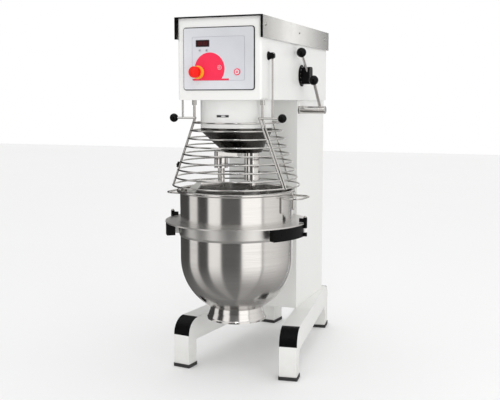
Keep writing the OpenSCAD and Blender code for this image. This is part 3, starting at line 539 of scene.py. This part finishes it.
def key_print(node, body, material, rings=(), bars=()):
    """Marks on a key in units of its radius: rings (outer, inner) and bars (width, height, up)."""
    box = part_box(node)
    at, r = middle(box), (box[1].x - box[0].x) / 2
    face = front_face(at.x, box[0].y, at.z)
    bm = bmesh.new()
    for outer, inner in rings:
        add_band(bm, circle(r * outer), circle(r * inner), PRINT_T, face)
    for w, h, up in bars:
        outline = [(x, y + r * up) for x, y in round_rect(r * w, r * h, r * 0.05, 2)]
        add_prism(bm, outline, PRINT_T, face)
    finish_piece(node + "_print", bm, body, material)


# black frame round the panel plate, partly the plate's gasket and partly painted shade standing in for the
# shadow along the raised plate's edges
frame_round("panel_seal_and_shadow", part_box("panel_plate"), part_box("head_front")[0].y + 0.0001,
            (0.0068, 0.0114), (0.0002, 0.0081), 0.0024, edge_black, 0.0005)
foil_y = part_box("panel_foil")[0].y
frame_round("foil_outline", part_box("panel_foil"), foil_y,
            (-0.001, 0.008), (-0.0028, 0.0071), PRINT_T, print_grey)
frame_round("display_bezel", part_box("display"), foil_y,
            (0.004, 0.003), (-0.001, 0.0015), 0.0008, print_dark, 0.0002)
display_segments()
DASH = (1.1, 0.26, 0.0)
key_print("start_key", "start", print_light, [(0.70, 0.40)], [(0.16, 0.46, 0.0)])
key_print("stop_key", "stop", print_light, [(0.97, 0.86), (0.38, 0.26)])
key_print("timer_up_key", "timer_up", print_dark, (), [DASH, (0.26, 0.42, -0.35), (0.26, 0.42, 0.35)])
key_print("timer_down_key", "timer_down", print_dark, (), [DASH])

# ---------------------------------------------------------------- speed dial


def dial_ticks():
    """Thirteen ticks round the dial, every third one long."""
    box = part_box("speed_dial")
    at, radius = middle(box), (box[1].z - box[0].z) / 2
    side = Matrix.Translation((box[1].x, at.y, at.z)) @ Matrix.Rotation(math.pi / 2, 4, "Y")
    count, first, step, width, edge = 13, -150, 25, 0.0014, 0.93
    bm = bmesh.new()
    for k in range(count):
        turn = Matrix.Rotation(math.radians(first + step * k), 4, "Z")
        long = 0.0075 if k % 3 == 0 else 0.0045
        mark = [(x + radius * edge - long / 2, y) for x, y in round_rect(long, width, 0.0005, 2)]
        add_prism(bm, mark, PRINT_T, side @ turn)
    finish_piece("dial_ticks", bm, "stand", print_white)


dial_ticks()

# ---------------------------------------------------------------- clamps and guard

BOWL_AXIS_Y = -0.2724946
CLAMP_SIDE, CLAMP_BEHIND = 0.288, 0.004     # a clamp's pivot, measured from the bowl's axis
HUB_SIDE = 0.187     # the middle of a guard hub, measured from the machine's middle plane


def clamp_cap(name, sign):
    """Domed zinc cap on top of the clamp's pivot post."""
    top = (sign * CLAMP_SIDE, BOWL_AXIS_Y + CLAMP_BEHIND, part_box(name)[1].z)
    dome = [(0, -0.0005), (0.0062, -0.0005), (0.0062, 0.0022), (0.0054, 0.0040), (0.0036, 0.0053),
            (0.0016, 0.0059), (0, 0.0060)]
    bm = bmesh.new()
    add_lathe(bm, dome, facing(top, (0, 0, 1)), 24)
    finish_piece(name + "_cap", bm, name, zinc)


def guard_sleeve(name, sign):
    """Black ring round one of the guard's hubs, between its cone and its nut."""
    pivot = middle(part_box("guard_bushes"))
    outer, soft, inner, half, lip = 0.0127, 0.0004, 0.0119, 0.0042, 0.0002
    ring = [(inner, -half), (outer - soft, -half - lip), (outer, -half + lip), (outer, half - lip),
            (outer - soft, half + lip), (inner, half), (inner, -half)]
    bm = bmesh.new()
    add_lathe(bm, ring, facing((sign * HUB_SIDE, pivot.y, pivot.z), (1, 0, 0)), 40)
    finish_piece(name, bm, "guard", finishes["black_plastic"])


def guard_clip():
    """Round clip with a screw, on the outside of the front guard's left end rib."""
    lo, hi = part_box("guard_front")
    at = Vector((lo.x + 0.0293, hi.y - 0.012, lo.z + 0.086))
    rib = Vector((-0.31, 0.0, -0.95)).normalized()
    r, neck, half, chamfer = 0.0066, 0.0052, 0.011, 0.0015
    barrel = [(0, -half), (neck, -half), (r, -half + chamfer), (r, half - chamfer), (neck, half), (0, half)]
    bm = bmesh.new()
    add_lathe(bm, barrel, facing(at, rib), 20)
    add_screw(bm, facing(at + Vector((-0.0062, 0, 0.001)), (-1, 0, 0.3)), 0.0035)
    finish_piece("guard_clip", bm, "guard", finishes["black_plastic"])


clamp_cap("clamp_left", -1)
clamp_cap("clamp_right", 1)
guard_sleeve("guard_sleeve_left", -1)
guard_sleeve("guard_sleeve_right", 1)
guard_clip()

# ---------------------------------------------------------------- floor


def add_floor():
    mesh = bpy.data.meshes.new("floor")
    half_width, below_feet = 14.0, 0.0002
    bm = bmesh.new()
    bmesh.ops.create_grid(bm, x_segments=2, y_segments=2, size=half_width)
    bm.to_mesh(mesh)
    bm.free()
    floor = bpy.data.objects.new("floor", mesh)
    bpy.context.scene.collection.objects.link(floor)
    s = Shader("floor_pale")
    tone = s.mix(s.noise(0.8, 2.0), (0.925, 0.925, 0.925), (0.94, 0.94, 0.94))
    gloss = s.remap(s.noise(3.0), 0.3, 0.7, 0.7, 0.8)
    mesh.materials.append(s.finish(tone, gloss, Specular_IOR_Level=0.2))
    floor.location.z = -below_feet
    floor.visible_glossy = False


add_floor()

# ---------------------------------------------------------------- studio

world = bpy.data.worlds.new("studio")
bpy.context.scene.world = world
world.use_nodes = True
tree = world.node_tree
tree.nodes.clear()

# brightness of the softboxes and flags round the set, by degrees from the front towards the right;
# the ramp's own last stop, straight behind, stays white
STUDIO = [(-180, 0.95), (-162, 0.80), (-150, 0.06), (-90, 0.06), (-86, 0.95), (-66, 0.95), (-62, 0.06),
          (-39, 0.07), (-35, 1.25), (-12, 1.2), (-8, 0.12), (30, 0.12), (34, 1.5), (72, 1.5), (75, 0.45),
          (80, 1.05), (110, 0.95), (150, 0.62), (157, 0.45), (168, 0.2), (173, 0.5)]
STRIP_AT = 161.9     # direction of one narrow strip light, which the lid's side mirrors
AIM = Vector((0, 0, 0.8))     # the middle of the machine, which the lamps point at
OVERHEAD = (1.1, 1.1, 1.1, 1.0)
BELOW = (0.24, 0.235, 0.23, 1.0)


def world_node(kind, **values):
    n = tree.nodes.new(kind)
    for key, value in values.items():
        setattr(n, key, value)
    return n


def calculated(operation, a, b=None):
    """A math node; a is a socket and b a socket or a number."""
    n = world_node("ShaderNodeMath", operation=operation)
    tree.links.new(a, n.inputs[0])
    if isinstance(b, bpy.types.NodeSocket):
        tree.links.new(b, n.inputs[1])
    elif b is not None:
        n.inputs[1].default_value = b
    return n.outputs[0]


def ranged(source, lo, hi, to_lo, to_hi):
    n = world_node("ShaderNodeMapRange")
    for key, value in zip(("From Min", "From Max", "To Min", "To Max"), (lo, hi, to_lo, to_hi)):
        n.inputs[key].default_value = value
    tree.links.new(source, n.inputs["Value"])
    return n.outputs["Result"]


def blended(fac, a, b):
    """Colour a where fac is 0 and b where it is 1; b is a socket or a colour."""
    n = world_node("ShaderNodeMix", data_type="RGBA")
    tree.links.new(fac, n.inputs["Factor"])
    tree.links.new(a, n.inputs[6])
    if isinstance(b, bpy.types.NodeSocket):
        tree.links.new(b, n.inputs[7])
    else:
        n.inputs[7].default_value = b
    return n.outputs[2]


def background(strength, colour=None):
    n = world_node("ShaderNodeBackground")
    n.inputs["Color"].default_value = (1.0, 1.0, 1.0, 1.0)
    n.inputs["Strength"].default_value = strength
    if colour is not None:
        tree.links.new(colour, n.inputs["Color"])
    return n.outputs[0]


def either(fac, a, b):
    n = world_node("ShaderNodeMixShader")
    for socket, source in zip(n.inputs, (fac, a, b)):
        tree.links.new(source, socket)
    return n.outputs[0]


def studio_colour():
    """What shiny surfaces mirror, by direction: bands round the set, a ceiling and a dim floor."""
    split = world_node("ShaderNodeSeparateXYZ")
    tree.links.new(world_node("ShaderNodeTexCoord").outputs["Generated"], split.inputs[0])
    right, behind, up = split.outputs
    azimuth = calculated("ARCTAN2", right, calculated("MULTIPLY", behind, -1.0))
    bands = world_node("ShaderNodeValToRGB")
    tree.links.new(ranged(azimuth, -math.pi, math.pi, 0.0, 1.0), bands.inputs["Fac"])
    stops = bands.color_ramp.elements
    for angle, _ in STUDIO[1:]:
        stops.new((angle + 180) / 360)
    for stop, (_, level) in zip(stops, STUDIO):
        stop.color = (level, level * 0.985, level * 0.965, 1.0)
    off = calculated("ABSOLUTE", calculated("SUBTRACT", azimuth, math.radians(STRIP_AT)))
    strip = ranged(off, math.radians(0.5), math.radians(2.4), 1.75, 0.08)
    near = ranged(off, math.radians(2.6), math.radians(4.5), 1.0, 0.0)
    around = blended(near, bands.outputs["Color"], strip)
    roofed = blended(ranged(up, 0.55, 0.85, 0.0, 1.0), around, OVERHEAD)
    return blended(ranged(up, -0.10, -0.75, 0.0, 0.85), roofed, BELOW)


rays = world_node("ShaderNodeLightPath").outputs
lit = either(rays["Is Glossy Ray"], background(0.98), background(1.0, studio_colour()))
tree.links.new(either(rays["Is Camera Ray"], lit, background(1.0)),
               world_node("ShaderNodeOutputWorld").inputs["Surface"])


def softbox(name, place, size, power, shiny=False):
    """Rectangular lamp aimed at the middle of the machine."""
    data = bpy.data.lights.new(name, "AREA")
    data.shape = "RECTANGLE"
    data.size, data.size_y = size
    data.energy = power
    lamp = bpy.data.objects.new(name, data)
    bpy.context.scene.collection.objects.link(lamp)
    lamp.location = place
    lamp.rotation_euler = (AIM - Vector(place)).to_track_quat("-Z", "Y").to_euler()
    lamp.visible_glossy = shiny
    lamp.visible_camera = False


softbox("key_right", (3.4, -2.6, 1.0), (2.2, 1.8), 26.0)
softbox("sparkle", (0.9, -2.6, 3.4), (0.5, 0.5), 9.0, shiny=True)

# ---------------------------------------------------------------- camera

SENSOR_MM = 36.0
FOCAL_MM = 57.92
CAMERA_AT = (1.2009, -3.2549, 1.1083)
LOOKING_DOWN = 7.047     # degrees below level
TURNED_LEFT = 20.97     # degrees from straight at the machine's front

lens = bpy.data.cameras.new("photo_camera")
lens.sensor_width = SENSOR_MM
lens.lens = FOCAL_MM
camera = bpy.data.objects.new("photo_camera", lens)
bpy.context.scene.collection.objects.link(camera)
camera.location = CAMERA_AT
camera.rotation_euler = (math.radians(90 - LOOKING_DOWN), 0.0, math.radians(TURNED_LEFT))
bpy.context.scene.camera = camera
bpy.context.scene.view_settings.view_transform = "Standard"
bpy.context.scene.view_settings.look = "None"
